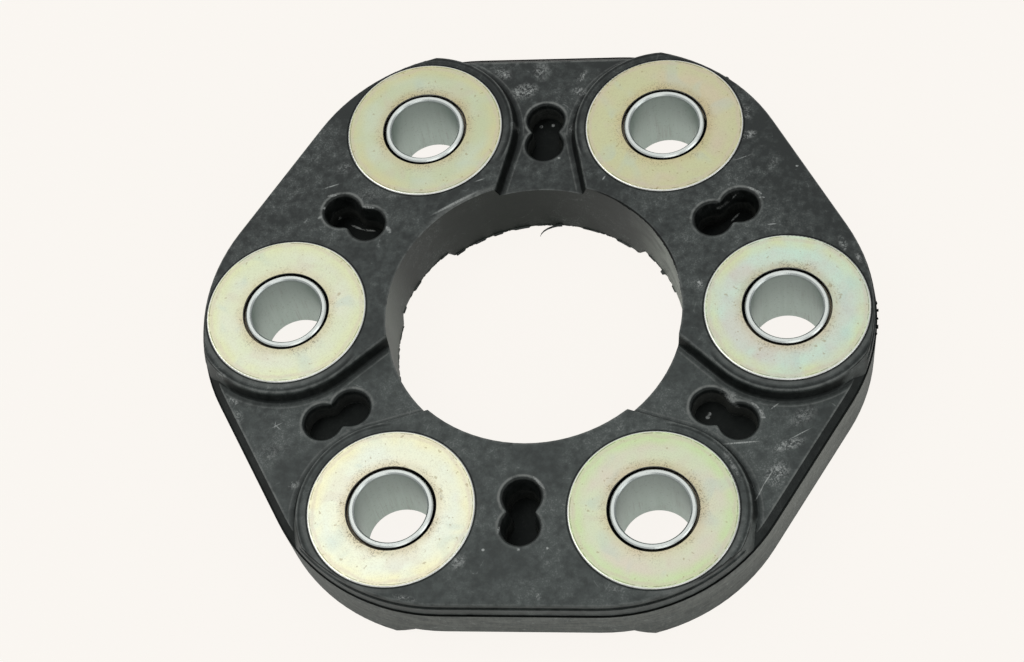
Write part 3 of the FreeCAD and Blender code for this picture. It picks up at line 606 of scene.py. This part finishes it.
@dataclass(frozen=True)
class YellowZinc:
    """Yellow passivated zinc on a stamped washer: faint rainbow patches, stains and specks at the hole."""

    tint: ZincTint
    hole_radius_mm: float = 8.75
    seed_step: float = 11.0
    pink: Colour = (0.66, 0.53, 0.46)
    blue: Colour = (0.52, 0.64, 0.60)
    stain: Colour = (0.34, 0.26, 0.12)
    tan: Colour = (0.66, 0.52, 0.30)
    soot: Colour = (0.050, 0.038, 0.024)
    highlight_white: Colour = (0.90, 0.90, 0.86)
    gap: Colour = (0.004, 0.004, 0.003)

    def build(self) -> Material:
        """Make the material.

        Returns:
            The material.
        """
        tint = self.tint
        seed = self.seed_step * tint.bush
        graph = Graph(f"yellow_zinc_{tint.bush}")
        place = graph.place_mm(bush_centre(tint.bush))
        x, y, z = place.split()
        level = graph.level()
        radius = (x * x + y * y).maths("SQRT")
        patches = place.clouds(9.0, seed, 2.0, 0.5)
        rainbow = place.clouds(6.5, seed + 1, 1.0, 0.5, 0.8)
        wobble = (place.clouds(4.0, seed + 2, 2.0) - 0.5) * 1.6
        crystals = place.clouds(0.30, seed + 3, 3.0, 0.8)
        cloudy = place.clouds(1.3, seed + 4, 3.0, 0.6)
        edge = radius + wobble
        side = place.stretched((0.0, 0.0, 0.0), radians(tint.stain_side), (1.0, 1.0, 1.0))
        towards = (side.split()[0] / 9.0).step(-0.6, 1.0, 0.30, 1.25)
        near_hole = (radius - cloudy * 2.6).step(9.7, 7.2) * towards * tint.stain
        clusters = place.clouds(3.4, seed + 7, 2.0).step(0.38, 0.60)
        specks = place.grains(0.26, 0.16, seed + 5) * (clusters * 0.85 + 0.15)
        dots = place.grains(0.80, 0.030, seed + 6)
        halo = (radius + cloudy).step(11.4, 9.3) * (clusters * 0.5 + 0.5)
        around = radius.step(11.8, 8.9) * 0.30 + near_hole * 0.35 + 0.06
        rim_line = radius.band(WASHER_MM - 0.50, 0.13) * cloudy.step(0.42, 0.54)
        # Painted highlight: a near white line along the washer's rounded outer rim.
        rim = radius.step(WASHER_MM - 0.34, WASHER_MM - 0.24)
        bore_wall = radius.step(self.hole_radius_mm + 0.14, self.hole_radius_mm + 0.03)
        flat = level.step(0.4, 0.6)
        # Painted shade: the washer's outer wall and its bore wall are painted near black, and so is the flat
        # border of the bore except on its far side, towards +Y. Painted highlight: a light band along the top
        # of the bore wall.
        outer_wall = level.step(0.45, 0.20) * radius.step(12.0, 13.0)
        seen_edge = flat * y.step(6.8, 3.5)
        lit_top = (1 - flat) * z.step(7.95, 8.15)
        colour = graph.coat(
            tint.middle, (patches.step(0.40, 0.64), tint.patch), (rainbow.step(0.54, 0.70) * 0.24, self.pink),
            (rainbow.step(0.46, 0.30) * 0.34, self.blue),
            (edge.step(12.4, 14.8) * (rainbow.step(0.35, 0.62) * 0.55 + 0.30), tint.rim),
            (edge.band(15.3, 0.7) * 0.35, self.pink), (edge.step(12.2, 9.0) * 0.38, tint.hole),
            (halo * 0.42, self.tan), ((near_hole * 0.30).maths("MINIMUM", 0.7), self.stain),
            ((specks * around).maths("MINIMUM", 0.85), self.soot), (dots * 0.45, self.stain),
            (rim_line * 0.62, self.soot), (rim * (cloudy.step(0.25, 0.5) * 0.4 + 0.55), self.highlight_white),
            (crystals.step(0.52, 0.40) * 0.14, self.stain),
            (outer_wall.largest(bore_wall * seen_edge), self.gap), (bore_wall * (1 - flat), self.gap),
            (bore_wall * lit_top * 0.8, self.highlight_white))
        roughness = cloudy * 0.12 + crystals * 0.10 + 0.27 + near_hole * 0.2 - rim * 0.05
        metallic = 0.90 - near_hole * 0.3 - specks * 0.1
        height = crystals * 0.006 + cloudy * 0.006 + patches * 0.02 - specks * near_hole * 0.02
        return graph.finish(colour, roughness, metallic, height)


@dataclass(frozen=True)
class BrightZinc:
    """Bright zinc on a sleeve: a clean turned end and a duller, streaked bore."""

    bush: int
    bore_radius_mm: float = 7.1
    chamfer_radius_mm: float = 7.5
    outer_radius_mm: float = 8.25
    seed_step: float = 7.0
    end: Colour = (0.78, 0.815, 0.77)
    turned_end: Colour = (0.64, 0.68, 0.66)
    bore: Colour = (0.48, 0.565, 0.52)
    pale_bore: Colour = (0.54, 0.625, 0.585)
    darker_grey: Colour = (0.30, 0.33, 0.32)
    rubbed: Colour = (0.40, 0.41, 0.39)
    dirt: Colour = (0.10, 0.10, 0.09)
    gap: Colour = (0.004, 0.004, 0.003)

    def build(self) -> Material:
        """Make the material.

        Returns:
            The material.
        """
        graph = Graph(f"bright_zinc_{self.bush}")
        place = graph.place_mm(bush_centre(self.bush))
        x, y, z = place.split()
        seed = self.seed_step * self.bush
        radius = (x * x + y * y).maths("SQRT")
        inside = radius.step(self.bore_radius_mm + 0.12, self.bore_radius_mm + 0.02)
        outside = radius.step(self.outer_radius_mm - 0.10, self.outer_radius_mm - 0.02)
        inner_edge = radius.step(self.chamfer_radius_mm, self.chamfer_radius_mm - 0.25) * (1 - inside) * 0.45
        streaks = graph.join(x, y, z * 0.06).clouds(1.1, seed, 3.0, 0.6)
        scrapes = graph.join(x * 1.6, y * 1.6, z * 0.05).clouds(0.5, seed + 1, 2.0, 0.7)
        patch = place.clouds(5.0, seed + 2, 1.0)
        round_end = y.maths("ARCTAN2", x) * 0.6
        turned = graph.join(radius * 9.0, round_end, 0.0).clouds(1.0, seed + 3, 2.0, 0.6)
        dirt = place.grains(0.5, 0.10, seed + 4)
        # Darker towards the bore's upper end.
        darker_towards_top = z.step(-6.0, 7.6) * 0.55 + z.step(7.2, 8.2) * 0.25
        scraped = scrapes.step(0.50, 0.66) * patch.step(0.46, 0.60) * 0.5
        dull = graph.coat(self.bore, (streaks.step(0.30, 0.70), self.pale_bore), (scraped, self.rubbed),
                          (darker_towards_top, self.darker_grey))
        bright = graph.coat(self.end, (turned.step(0.35, 0.65) * 0.5, self.turned_end))
        # Painted shade: the sleeve's outer rim is painted near black.
        colour = graph.coat(bright, (inside, dull), (dirt * 0.18, self.dirt), (inner_edge, self.darker_grey),
                            (outside, self.gap))
        roughness = inside * 0.16 + 0.20 + streaks * 0.10 + scrapes * 0.06
        height = turned * 0.004 + scrapes * inside * 0.008 + patch * 0.01
        return graph.finish(colour, roughness, 0.96, height)


@dataclass(frozen=True)
class PlainSteel:
    """Bare stamped steel of the middle washers."""

    light: Colour = (0.50, 0.49, 0.47)
    dark: Colour = (0.34, 0.33, 0.32)
    rust: Colour = (0.24, 0.16, 0.10)

    def build(self) -> Material:
        """Make the material.

        Returns:
            The material.
        """
        graph = Graph("plain_steel")
        place = graph.place_mm()
        rolled = place.stretched((0, 0, 0), 0.4, (6.0, 0.35, 1.0)).clouds(1.0, 3.0, 3.0)
        spots = place.clouds(2.4, 5.0, 3.0, 0.6)
        colour = graph.coat(self.dark, (rolled.step(0.3, 0.7), self.light),
                            (spots.step(0.62, 0.75) * 0.5, self.rust))
        return graph.finish(colour, rolled * 0.2 + 0.32, 0.9, rolled * 0.006 + spots * 0.01)


@dataclass(frozen=True)
class WoundCord:
    """Bundle of twisted polyester cord, wound round two sleeves and soaked with rubber."""

    light: Colour = (0.66, 0.58, 0.42)
    dark: Colour = (0.30, 0.25, 0.17)
    cord_mm: float = 0.9

    def build(self) -> Material:
        """Make the material.

        Returns:
            The material.
        """
        graph = Graph("wound_cord")
        place = graph.place_mm()
        x, y, z = place.split()
        row = graph.node("ShaderNodeTexWave", {"wave_type": "BANDS", "bands_direction": "Z"},
                         {"Vector": graph.join(x, y, z / self.cord_mm), "Scale": 0.32, "Distortion": 1.4,
                          "Detail": 2.0, "Detail Scale": 1.5})
        twist = graph.node("ShaderNodeTexWave", {"wave_type": "BANDS", "bands_direction": "DIAGONAL"},
                           {"Vector": place, "Scale": 0.9, "Distortion": 2.0})
        fuzz = place.clouds(0.25, 2.0, 2.0, 0.7)
        colour = graph.coat(self.dark, (row * 0.7 + twist * 0.3, self.light))
        return graph.finish(colour, fuzz * 0.2 + 0.68, 0.0, row * 0.16 + twist * 0.05 + fuzz * 0.03)


@dataclass(frozen=True)
class PaleGround:
    """Warm white ground that stays even to the camera and keeps a faint shadow."""

    seen: Colour = (0.970, 0.935, 0.892)
    paper: Colour = (0.84, 0.83, 0.81)
    fibre_share: float = 0.97
    roughness: float = 0.5
    evenness: float = 0.955
    mirrored: float = 0.62

    def build(self) -> Material:
        """Make the material.

        Returns:
            The material.
        """
        graph = Graph("pale_ground")
        fibres = graph.place_mm().clouds(3.0, 1.0, 3.0)
        fibre = tuple(value * self.fibre_share for value in self.paper)
        paper = graph.node("ShaderNodeBsdfDiffuse",
                           inputs=[graph.coat(self.paper, (fibres, fibre)), self.roughness])
        glow = graph.node("ShaderNodeEmission", inputs=[(*self.seen, 1.0), 1.0])
        path = graph.node("ShaderNodeLightPath", output="Is Camera Ray")
        rays = path.socket.node.outputs
        mirror = Shade(graph, rays["Is Glossy Ray"]) + Shade(graph, rays["Is Transmission Ray"])
        share = path * self.evenness + mirror.maths("MINIMUM", 1.0) * self.mirrored
        mixed = graph.node("ShaderNodeMixShader", inputs=[share.maths("MINIMUM", 1.0), paper, glow])
        graph.node("ShaderNodeOutputMaterial", inputs={"Surface": mixed})
        return graph.owner


class Bench:
    """Modelling moves that the new pieces share."""

    @staticmethod
    def start() -> None:
        """Leave edit mode and select nothing, before something is added."""
        if bpy.context.object and bpy.context.object.mode != "OBJECT":
            bpy.ops.object.mode_set(mode="OBJECT")
        bpy.ops.object.select_all(action="DESELECT")

    @staticmethod
    def named(name: str) -> Object:
        """Name the new object and its data.

        Args:
            name: The name.

        Returns:
            The object.
        """
        made = bpy.context.object
        made.name = name
        made.data.name = name
        return made

    @staticmethod
    def settle(piece: Object, material: Material, slot: str) -> None:
        """Put the object's place into its mesh, close it, and give it its finish and its body.

        Args:
            piece: The piece.
            material: Its finish.
            slot: Not used.
        """
        bpy.ops.object.mode_set(mode="OBJECT")
        bpy.ops.object.select_all(action="DESELECT")
        piece.select_set(True)
        bpy.context.view_layer.objects.active = piece
        bpy.ops.object.transform_apply(location=True, rotation=True, scale=True)
        bpy.ops.object.mode_set(mode="EDIT")
        bpy.ops.mesh.select_all(action="SELECT")
        bpy.ops.mesh.remove_doubles(threshold=0.00001)
        bpy.ops.mesh.normals_make_consistent(inside=False)
        bpy.ops.object.mode_set(mode="OBJECT")
        bpy.ops.object.shade_smooth_by_angle(angle=radians(35))
        piece.data.materials.clear()
        piece.data.materials.append(material)
        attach(piece, BODY)
        log.info("made %s: %d faces", piece.name, len(piece.data.polygons))


@dataclass
class Outline:
    """The rubber's outline in plan: six flat sides joined by arcs, in millimetres."""

    flat_distance_mm: float = 63.55
    corner_distance_mm: float = 67.50

    def reach(self, angle: float) -> float:
        """Distance from the axis to the outline.

        Args:
            angle: Direction in radians.

        Returns:
            The distance in millimetres.
        """
        half = SPAN_TURN / 2
        slant = 1 / math.cos(half)
        arc = (self.flat_distance_mm * slant - self.corner_distance_mm) / (slant - 1)
        centre = self.corner_distance_mm - arc
        off = abs((angle + half) % SPAN_TURN - half)
        tangent = math.atan2(arc * math.sin(half), centre + arc * math.cos(half))
        if off > tangent:
            return self.flat_distance_mm / math.cos(half - off)
        return centre * math.cos(off) + math.sqrt(arc ** 2 - (centre * math.sin(off)) ** 2)


@dataclass(frozen=True)
class Tongue:
    """A bit of flash that stands out, by its direction and spread in degrees and its reach."""

    angle: float
    spread: float
    reach_mm: float


HOLE_TONGUES: tuple[Tongue, ...] = rows(
    Tongue, (136, 5, 0.35), (129, 7, 0.45), (119, 6, 0.50), (111, 5, 0.55), (101, 8, 0.50), (72, 9, 0.28),
    (57, 8, 0.34), (41, 5, 0.30), (33, 2.6, 0.75), (24, 4, 0.35), (153, 6, 0.35), (166, 6, 0.3),
    (268, 2.2, 0.5))
OUTER_TONGUES: tuple[Tongue, ...] = rows(
    Tongue, (2.4, 0.9, 0.42), (1.0, 1.0, 0.55), (359.4, 0.8, 0.45), (357.9, 1.1, 0.5), (356.6, 0.8, 0.35),
    (183, 1.2, 0.3), (262, 1.6, 0.25), (283, 1.2, 0.25))
CURL_MM: tuple[Place, ...] = ((-1.0, -0.15, 0.15), (-1.0, -0.35, 0.05), (-1.0, -0.45, 0.0),
                              (-0.8, -0.55, -0.05), (-0.5, -0.6, -0.1), (-0.2, -0.5, -0.1))


@dataclass
class MouldFlash:
    """Thin ragged rubber that the mould leaves at its joints, and a few torn threads."""

    material: Material
    outline: Outline = field(default_factory=Outline)
    throat_degrees: float = 17.9
    film_mm: float = 0.10
    film_points: int = 1440
    rooted_mm: float = 0.12
    least_mm: float = 0.05
    sunk_mm: float = 0.06
    thread_points: int = 8
    thread_taper: float = 0.88
    curl_root_mm: Place = (2.9, 29.3, -8.0)
    curl_radius_mm: float = 0.30
    nib_degrees: float = 56.3
    nib_z_mm: float = 5.2
    nib_rise: float = 0.12
    nib_steps_mm: tuple[float, ...] = (0.8, 0.55, 0.3)
    nib_radius_mm: float = 0.55

    def film(self, name: str, base: Callable[[float], float], level: Callable[[float], float],
             width: Callable[[float], float], lift_mm: float, sign: float = -1.0) -> None:
        """Make a ragged film along a closed line round the axis.

        Args:
            name: The piece's name.
            base: Distance of its rooted edge from the axis, by direction, in millimetres.
            level: Height of the rooted edge, by direction.
            width: Its reach by direction, in millimetres.
            lift_mm: How far its free edge stands above the rooted one.
            sign: -1 where it reaches towards the axis, 1 where it reaches outwards.
        """
        Bench.start()
        bpy.ops.mesh.primitive_circle_add(vertices=self.film_points, radius=HOLE_MM * MM,
                                          fill_type="NOTHING", location=(0, 0, 0))
        piece = Bench.named(name)
        bpy.ops.object.mode_set(mode="EDIT")
        bpy.ops.mesh.select_all(action="SELECT")
        bpy.ops.mesh.extrude_region_move(TRANSFORM_OT_translate={"value": (0, 0, MM)})
        bpy.ops.mesh.select_all(action="DESELECT")
        bpy.ops.object.mode_set(mode="OBJECT")
        for point in piece.data.vertices:
            angle = math.atan2(point.co.y, point.co.x)
            reach = width(angle)
            free = point.co.z > MM / 2
            distance = base(angle) + sign * (reach if free else -self.rooted_mm)
            height = level(angle) + (lift_mm * min(1.0, reach / 0.5) if free else 0.0)
            point.co = Vector((distance * math.cos(angle), distance * math.sin(angle), height)) * MM
            point.select = reach < self.least_mm
        bpy.ops.object.mode_set(mode="EDIT")
        bpy.ops.mesh.delete(type="VERT")
        bpy.ops.mesh.select_all(action="SELECT")
        bpy.ops.mesh.delete_loose()
        bpy.ops.object.mode_set(mode="OBJECT")
        modifier = piece.modifiers.new("thickness", "SOLIDIFY")
        modifier.thickness = self.film_mm * MM
        modifier.offset = 0.0
        bpy.ops.object.modifier_apply(modifier=modifier.name)
        Bench.settle(piece, self.material, RUBBER_SLOT)

    @staticmethod
    def from_valley(angle: float) -> float:
        """Degrees from the middle of the nearest lower valley."""
        return abs((math.degrees(angle) + 30) % 120 - 60)

    def lower_edge(self, angle: float) -> float:
        """Height of the centre hole's lower edge, which rises where a lower valley opens into it."""
        return -VALLEY_Z_MM if self.from_valley(angle) < self.throat_degrees else -FACE_Z_MM

    def lower_reach(self, angle: float) -> float:
        """Reach of the film at the hole's lower edge: most on the far side, none at the valleys' corners.

        Args:
            angle: Direction in radians.

        Returns:
            The reach in millimetres.
        """
        if abs(self.from_valley(angle) - self.throat_degrees) < 1.4:
            return 0.0
        far = 0.5 + 0.5 * math.cos(angle - radians(120))
        return self.ragged(angle, 3.1, -0.22 + 0.30 * far, HOLE_TONGUES)

    def upper_reach(self, angle: float) -> float:
        """Reach of the film at the hole's upper edge, which is left only beside bushes 1 and 2.

        Args:
            angle: Direction in radians.

        Returns:
            The reach in millimetres.
        """
        degrees = math.degrees(angle)
        kept = min(1.0, max(0.0, (degrees - 2) / 6)) * min(1.0, max(0.0, (62 - degrees) / 8))
        return kept * self.ragged(angle, 5.3, 0.10)

    @staticmethod
    def ragged(angle: float, seed: float, level: float, tongues: Sequence[Tongue] = ()) -> float:
        """Reach of a torn film in a direction.

        Args:
            angle: Direction in radians.
            seed: Another number gives another tear.
            level: Average reach, which may be below zero where most of the film is gone.
            tongues: Bits that stand out.

        Returns:
            The reach in millimetres.
        """
        spot = Vector((math.cos(angle), math.sin(angle), seed))
        broad = noise.noise(spot * 6.0) * 0.16
        torn = abs(noise.noise(spot * 26.0)) * 0.22 + abs(noise.noise(spot * 90.0)) * 0.12
        reach = level + broad + torn
        for tongue in tongues:
            off = (math.degrees(angle) - tongue.angle + 180) % 360 - 180
            inside = 1 - abs(off) / (tongue.spread / 2)
            if inside > 0:
                shape = min(1.0, inside * 3.5) * (0.82 + 0.5 * torn)
                reach = max(reach, tongue.reach_mm * shape)
        return max(0.0, reach)

    def thread(self, name: str, root: Vector, steps: Sequence[Vector], radius_mm: float) -> None:
        """Make a torn thread of rubber, extruded along its steps and thinning to its tip.

        Args:
            name: The piece's name.
            root: Its start, in millimetres.
            steps: Moves from ring to ring, in millimetres.
            radius_mm: Its radius at the root.
        """
        Bench.start()
        turn = steps[0].normalized().to_track_quat("Z", "Y").to_euler()
        bpy.ops.mesh.primitive_circle_add(vertices=self.thread_points, radius=radius_mm * MM,
                                          fill_type="NGON", location=root * MM, rotation=turn)
        piece = Bench.named(name)
        bpy.ops.object.transform_apply(location=True, rotation=True)
        bpy.ops.object.mode_set(mode="EDIT")
        bpy.ops.mesh.select_all(action="SELECT")
        spot = root.copy()
        for step in steps:
            spot = spot + step
            bpy.ops.mesh.extrude_region_move(TRANSFORM_OT_translate={"value": step * MM})
            bpy.ops.transform.resize(value=(self.thread_taper,) * 3, center_override=spot * MM)
        Bench.settle(piece, self.material, RUBBER_SLOT)

    def build(self) -> None:
        """Make every bit of flash."""
        self.film("flash_hole_lower", lambda angle: HOLE_MM,
                  lambda angle: self.lower_edge(angle) + self.sunk_mm, self.lower_reach, -0.02)
        self.film("flash_hole_upper", lambda angle: HOLE_MM, lambda angle: FACE_Z_MM - self.sunk_mm,
                  self.upper_reach, 0.0)
        self.film("flash_parting", lambda angle: self.outline.reach(angle) - 0.20,
                  lambda angle: PARTING_Z_MM + 0.02,
                  lambda angle: self.ragged(angle, 7.7, -0.20, OUTER_TONGUES), 0.16, 1.0)
        self.thread("flash_thread_hole", Vector(self.curl_root_mm), [Vector(step) for step in CURL_MM],
                    self.curl_radius_mm)
        turn = radians(self.nib_degrees)
        out = Vector((math.cos(turn), math.sin(turn), self.nib_rise))
        root = self.outline.reach(turn) - 0.9
        self.thread("flash_nib_corner", Vector((root * out.x, root * out.y, self.nib_z_mm)),
                    [out * step for step in self.nib_steps_mm], self.nib_radius_mm)


@dataclass
class RubberDisc:
    """The moulded rubber with its flash."""

    finish: MouldedRubber = field(default_factory=MouldedRubber)

    def build(self) -> None:
        """Dress the disc and make the flash."""
        rubber = self.finish.build()
        dress("rubber_body", rubber)
        MouldFlash(rubber).build()


@dataclass
class Bush:
    """One of the six bolt places: a sleeve, a washer on each side and one in the middle."""

    tint: ZincTint
    steel: Material

    def build(self) -> None:
        """Dress the bush's pieces."""
        number = self.tint.bush
        zinc = YellowZinc(self.tint).build()
        dress(f"upper_washer_{number}", zinc)
        dress(f"lower_washer_{number}", zinc)
        dress(f"sleeve_{number}", BrightZinc(number).build())
        dress(f"divider_washer_{number}", self.steel)


@dataclass
class CordWindings:
    """The six cord bundles inside the rubber."""

    layers: tuple[str, ...] = ("upper", "lower")
    per_layer: int = 3
    finish: WoundCord = field(default_factory=WoundCord)

    def build(self) -> None:
        """Dress the bundles."""
        cord = self.finish.build()
        for layer in self.layers:
            for number in range(1, self.per_layer + 1):
                dress(f"{layer}_cord_loop_{number}", cord)


@dataclass(frozen=True)
class Softbox:
    """A square studio lamp, by its place, side and brightness."""

    name: str
    place: Place
    side: float
    radiance: float
    colour: Colour

    def build(self) -> None:
        """Add the lamp, turned to the disc's middle."""
        Bench.start()
        bpy.ops.object.light_add(type="AREA", location=self.place)
        lamp = bpy.context.object
        lamp.name = self.name
        lamp.data.shape = "SQUARE"
        lamp.data.size = self.side
        lamp.data.energy = self.radiance * math.pi * self.side ** 2
        lamp.data.color = self.colour
        lamp.rotation_mode = "QUATERNION"
        lamp.rotation_quaternion = (-Vector(self.place)).to_track_quat("-Z", "Y")


@dataclass
class Studio:
    """Pale ground, soft lamps and an even sky."""

    ground_side: float = 6.0
    ground_z: float = -0.0085
    sky: Colour = (0.96, 0.98, 1.0)
    sky_strength: float = 0.55
    seen: Colour = (0.947, 0.913, 0.871)
    lamps: tuple[Softbox, ...] = rows(
        Softbox, ("lamp_wide", (-0.35, 0.75, 1.60), 2.20, 0.34, (1.0, 0.99, 0.98)),
        ("lamp_over", (-0.80, 0.05, 1.25), 0.80, 2.2, (1.0, 0.99, 0.97)),
        ("lamp_front", (0.35, -1.10, 0.75), 0.70, 0.9, (1.0, 0.99, 0.98)),
        ("lamp_right", (1.15, -0.40, 0.55), 0.60, 1.3, (0.98, 0.99, 1.0)))

    def build(self) -> None:
        """Set up the ground, the sky and the lamps."""
        Bench.start()
        bpy.ops.mesh.primitive_plane_add(size=self.ground_side, location=(0, 0, self.ground_z))
        ground = Bench.named("ground")
        ground.data.materials.append(PaleGround().build())
        for lamp in self.lamps:
            lamp.build()
        self.light_sky()

    def light_sky(self) -> None:
        """Light the world evenly and show the ground's colour behind the object."""
        graph = Graph("studio", bpy.data.worlds)
        bpy.context.scene.world = graph.owner
        path = graph.node("ShaderNodeLightPath", output="Is Camera Ray")
        light = graph.node("ShaderNodeBackground", inputs=[(*self.sky, 1.0), self.sky_strength])
        backdrop = graph.node("ShaderNodeBackground", inputs=[(*self.seen, 1.0)])
        mixed = graph.node("ShaderNodeMixShader", inputs=[path, light, backdrop])
        graph.node("ShaderNodeOutputWorld", inputs={"Surface": mixed})


@dataclass
class Viewpoint:
    """The camera that took the photograph, solved from the bolt circle and the washers."""

    place: Place = (0.0538, -0.21515, 0.3888)
    right: Place = (0.99128, 0.05632, -0.11912)
    up: Place = (0.00820, 0.87591, 0.48240)
    back: Place = (0.13150, -0.47918, 0.86781)
    lens_mm: float = 78.14
    sensor_mm: float = 36.0
    nearest: float = 0.01
    farthest: float = 20.0

    def build(self) -> None:
        """Add the camera and make it the scene's."""
        Bench.start()
        bpy.ops.object.camera_add(location=self.place)
        camera = bpy.context.object
        camera.name = "camera"
        camera.rotation_mode = "QUATERNION"
        camera.rotation_quaternion = Matrix((self.right, self.up, self.back)).transposed().to_quaternion()
        camera.data.sensor_fit = "HORIZONTAL"
        camera.data.sensor_width = self.sensor_mm
        camera.data.lens = self.lens_mm
        camera.data.clip_start = self.nearest
        camera.data.clip_end = self.farthest
        bpy.context.scene.camera = camera


def dress(name: str, material: Material) -> None:
    """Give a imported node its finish.

    Args:
        name: The node's name.
        material: The finish for all its slots.
    """
    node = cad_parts[name]
    slots = node.material_slots
    if not slots:
        node.data.materials.append(material)
    for slot in slots:
        slot.material = material
    log.info("dressed %s with %s", name, material.name)


def main() -> None:
    """Build the sub-assemblies in order, then the studio and the camera."""
    logging.basicConfig(level=logging.INFO, format="%(message)s")
    bpy.context.scene.view_settings.view_transform = "Standard"
    Viewpoint().build()
    RubberDisc().build()
    steel = PlainSteel().build()
    for tint in ZINC_TINTS_AND_REFLECTIONS:
        Bush(tint, steel).build()
    CordWindings().build()
    Studio().build()


if __name__ == "__main__":
    main()
